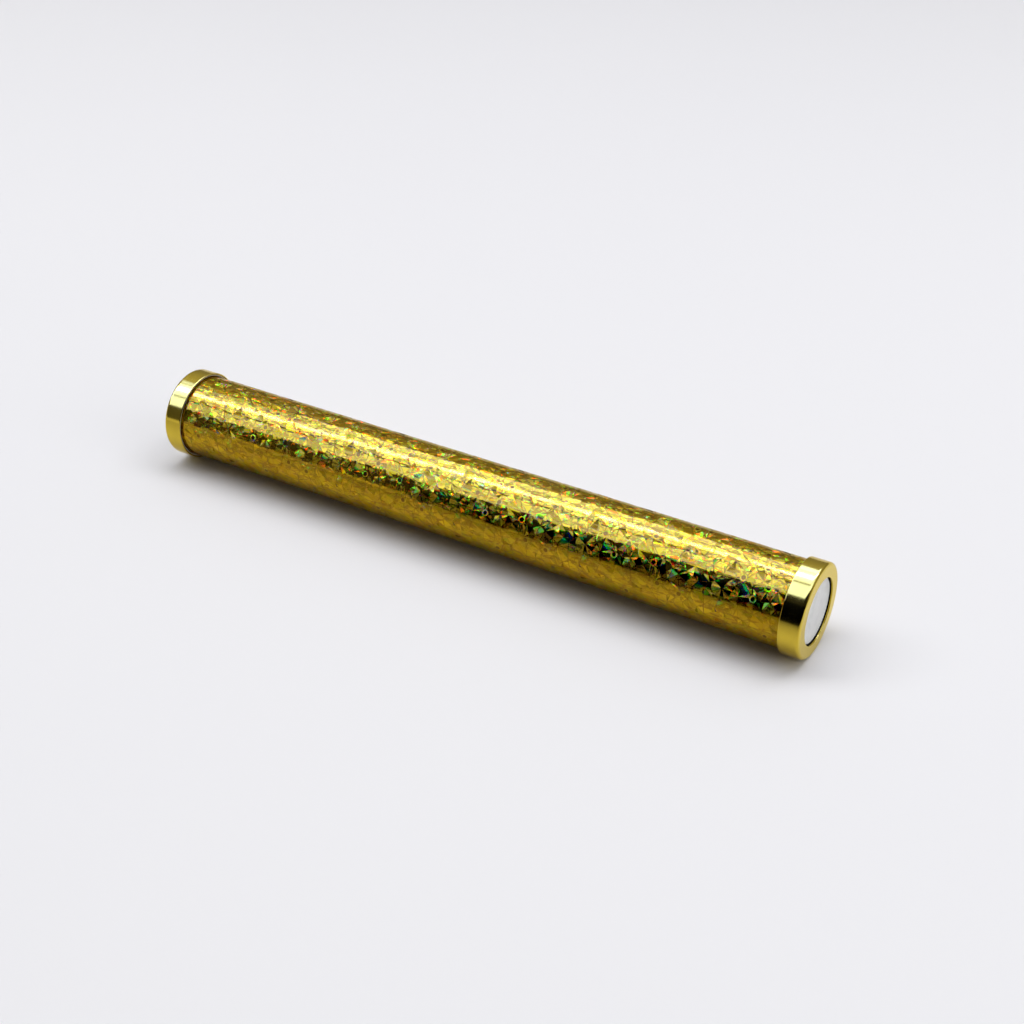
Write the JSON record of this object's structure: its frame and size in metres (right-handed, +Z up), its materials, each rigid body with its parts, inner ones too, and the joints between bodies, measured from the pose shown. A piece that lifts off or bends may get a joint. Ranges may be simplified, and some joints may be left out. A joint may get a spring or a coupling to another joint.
{
  "type": "kaleidoscope",
  "caption": "Slim pocket kaleidoscope: gold holographic film round a card tube, thin metal end caps, a frosted light disc, a cell of loose beads and a mirror prism.",
  "frame": {"origin": "on the surface that the caps rest on, midway between the two cap faces and straight below the tube's axis", "axes": "+X along the tube from the eye hole to the frosted disc, +Z up, +Y across the tube"},
  "size_m": [0.155, 0.02, 0.02],
  "materials": {
    "gold_cap": "thin drawn sheet, gold anodised, satin",
    "gold_film": "metallised gold film, embossed with a cracked-ice hologram",
    "kraft_card": "spiral wound grey-brown card",
    "black_plastic": "black, moulded",
    "black_card": "matt black card",
    "frosted_plastic": "frosted, lets light through",
    "clear_plastic": "clear polished acrylic",
    "mirror_strip": "silvered strip",
    "black_tape": "smooth vinyl tape",
    "black_foam": "open fine-celled foam",
    "adhesive_tape": "double-sided tape",
    "ruby_glass": "clear coloured glass",
    "pearl": "pearl lacquer",
    "gold_glass": "clear coloured glass",
    "blue_sequin": "glossy film",
    "green_glass": "clear coloured sheet",
    "amber_glass": "clear coloured sheet",
    "pink_sequin": "glossy film",
    "turquoise_glass": "clear coloured sheet",
    "violet_glass": "clear coloured sheet",
    "yellow_sequin": "glossy film",
    "red_glass": "clear coloured sheet"
  },
  "bodies": {
    "barrel": {"front_cap": "gold_cap", "rear_cap": "gold_cap", "front_cap_tape": "adhesive_tape", "rear_cap_tape": "adhesive_tape", "card_tube": "kraft_card", "film_wrap": "gold_film", "cell_bezel": "black_plastic", "frosted_disc": "frosted_plastic", "eye_mask": "black_card", "eye_window": "clear_plastic", "rear_spacer_ring": "black_card", "cell_ring": "clear_plastic", "cell_window": "clear_plastic", "mirror_strip_1": "mirror_strip", "mirror_strip_2": "mirror_strip", "mirror_strip_3": "mirror_strip", "prism_tape_rear": "black_tape", "prism_tape_middle": "black_tape", "prism_tape_front": "black_tape", "foam_pad_rear_1": "black_foam", "foam_pad_rear_2": "black_foam", "foam_pad_rear_3": "black_foam", "foam_pad_front_1": "black_foam", "foam_pad_front_2": "black_foam", "foam_pad_front_3": "black_foam"},
    "bead_ruby": {"bead_ruby": "ruby_glass"},
    "bead_pearl": {"bead_pearl": "pearl"},
    "bead_tube_gold": {"bead_tube_gold": "gold_glass"},
    "star_sequin": {"star_sequin": "blue_sequin"},
    "chip_green": {"chip_green": "green_glass"},
    "chip_amber": {"chip_amber": "amber_glass"},
    "sequin_round": {"sequin_round": "pink_sequin"},
    "drop_turquoise": {"drop_turquoise": "turquoise_glass"},
    "chip_violet": {"chip_violet": "violet_glass"},
    "half_moon_sequin": {"half_moon_sequin": "yellow_sequin"},
    "chip_red": {"chip_red": "red_glass"}
  },
  "joints": [
    {"name": "bead_ruby_tumble", "type": "hinge", "parent": "barrel", "child": "bead_ruby", "pos_m": [0.0725, 0, 0.01], "axis": [1, 0, 0], "continuous": true},
    {"name": "bead_pearl_tumble", "type": "hinge", "parent": "barrel", "child": "bead_pearl", "pos_m": [0.0725, 0, 0.01], "axis": [1, 0, 0], "continuous": true},
    {"name": "bead_tube_gold_tumble", "type": "hinge", "parent": "barrel", "child": "bead_tube_gold", "pos_m": [0.0725, 0, 0.01], "axis": [1, 0, 0], "continuous": true},
    {"name": "star_sequin_tumble", "type": "hinge", "parent": "barrel", "child": "star_sequin", "pos_m": [0.0725, 0, 0.01], "axis": [1, 0, 0], "continuous": true},
    {"name": "chip_green_tumble", "type": "hinge", "parent": "barrel", "child": "chip_green", "pos_m": [0.0725, 0, 0.01], "axis": [1, 0, 0], "continuous": true},
    {"name": "chip_amber_tumble", "type": "hinge", "parent": "barrel", "child": "chip_amber", "pos_m": [0.0725, 0, 0.01], "axis": [1, 0, 0], "continuous": true},
    {"name": "sequin_round_tumble", "type": "hinge", "parent": "barrel", "child": "sequin_round", "pos_m": [0.0725, 0, 0.01], "axis": [1, 0, 0], "continuous": true},
    {"name": "drop_turquoise_tumble", "type": "hinge", "parent": "barrel", "child": "drop_turquoise", "pos_m": [0.0725, 0, 0.01], "axis": [1, 0, 0], "continuous": true},
    {"name": "chip_violet_tumble", "type": "hinge", "parent": "barrel", "child": "chip_violet", "pos_m": [0.0725, 0, 0.01], "axis": [1, 0, 0], "continuous": true},
    {"name": "half_moon_sequin_tumble", "type": "hinge", "parent": "barrel", "child": "half_moon_sequin", "pos_m": [0.0725, 0, 0.01], "axis": [1, 0, 0], "continuous": true},
    {"name": "chip_red_tumble", "type": "hinge", "parent": "barrel", "child": "chip_red", "pos_m": [0.0725, 0, 0.01], "axis": [1, 0, 0], "continuous": true}
  ]
}
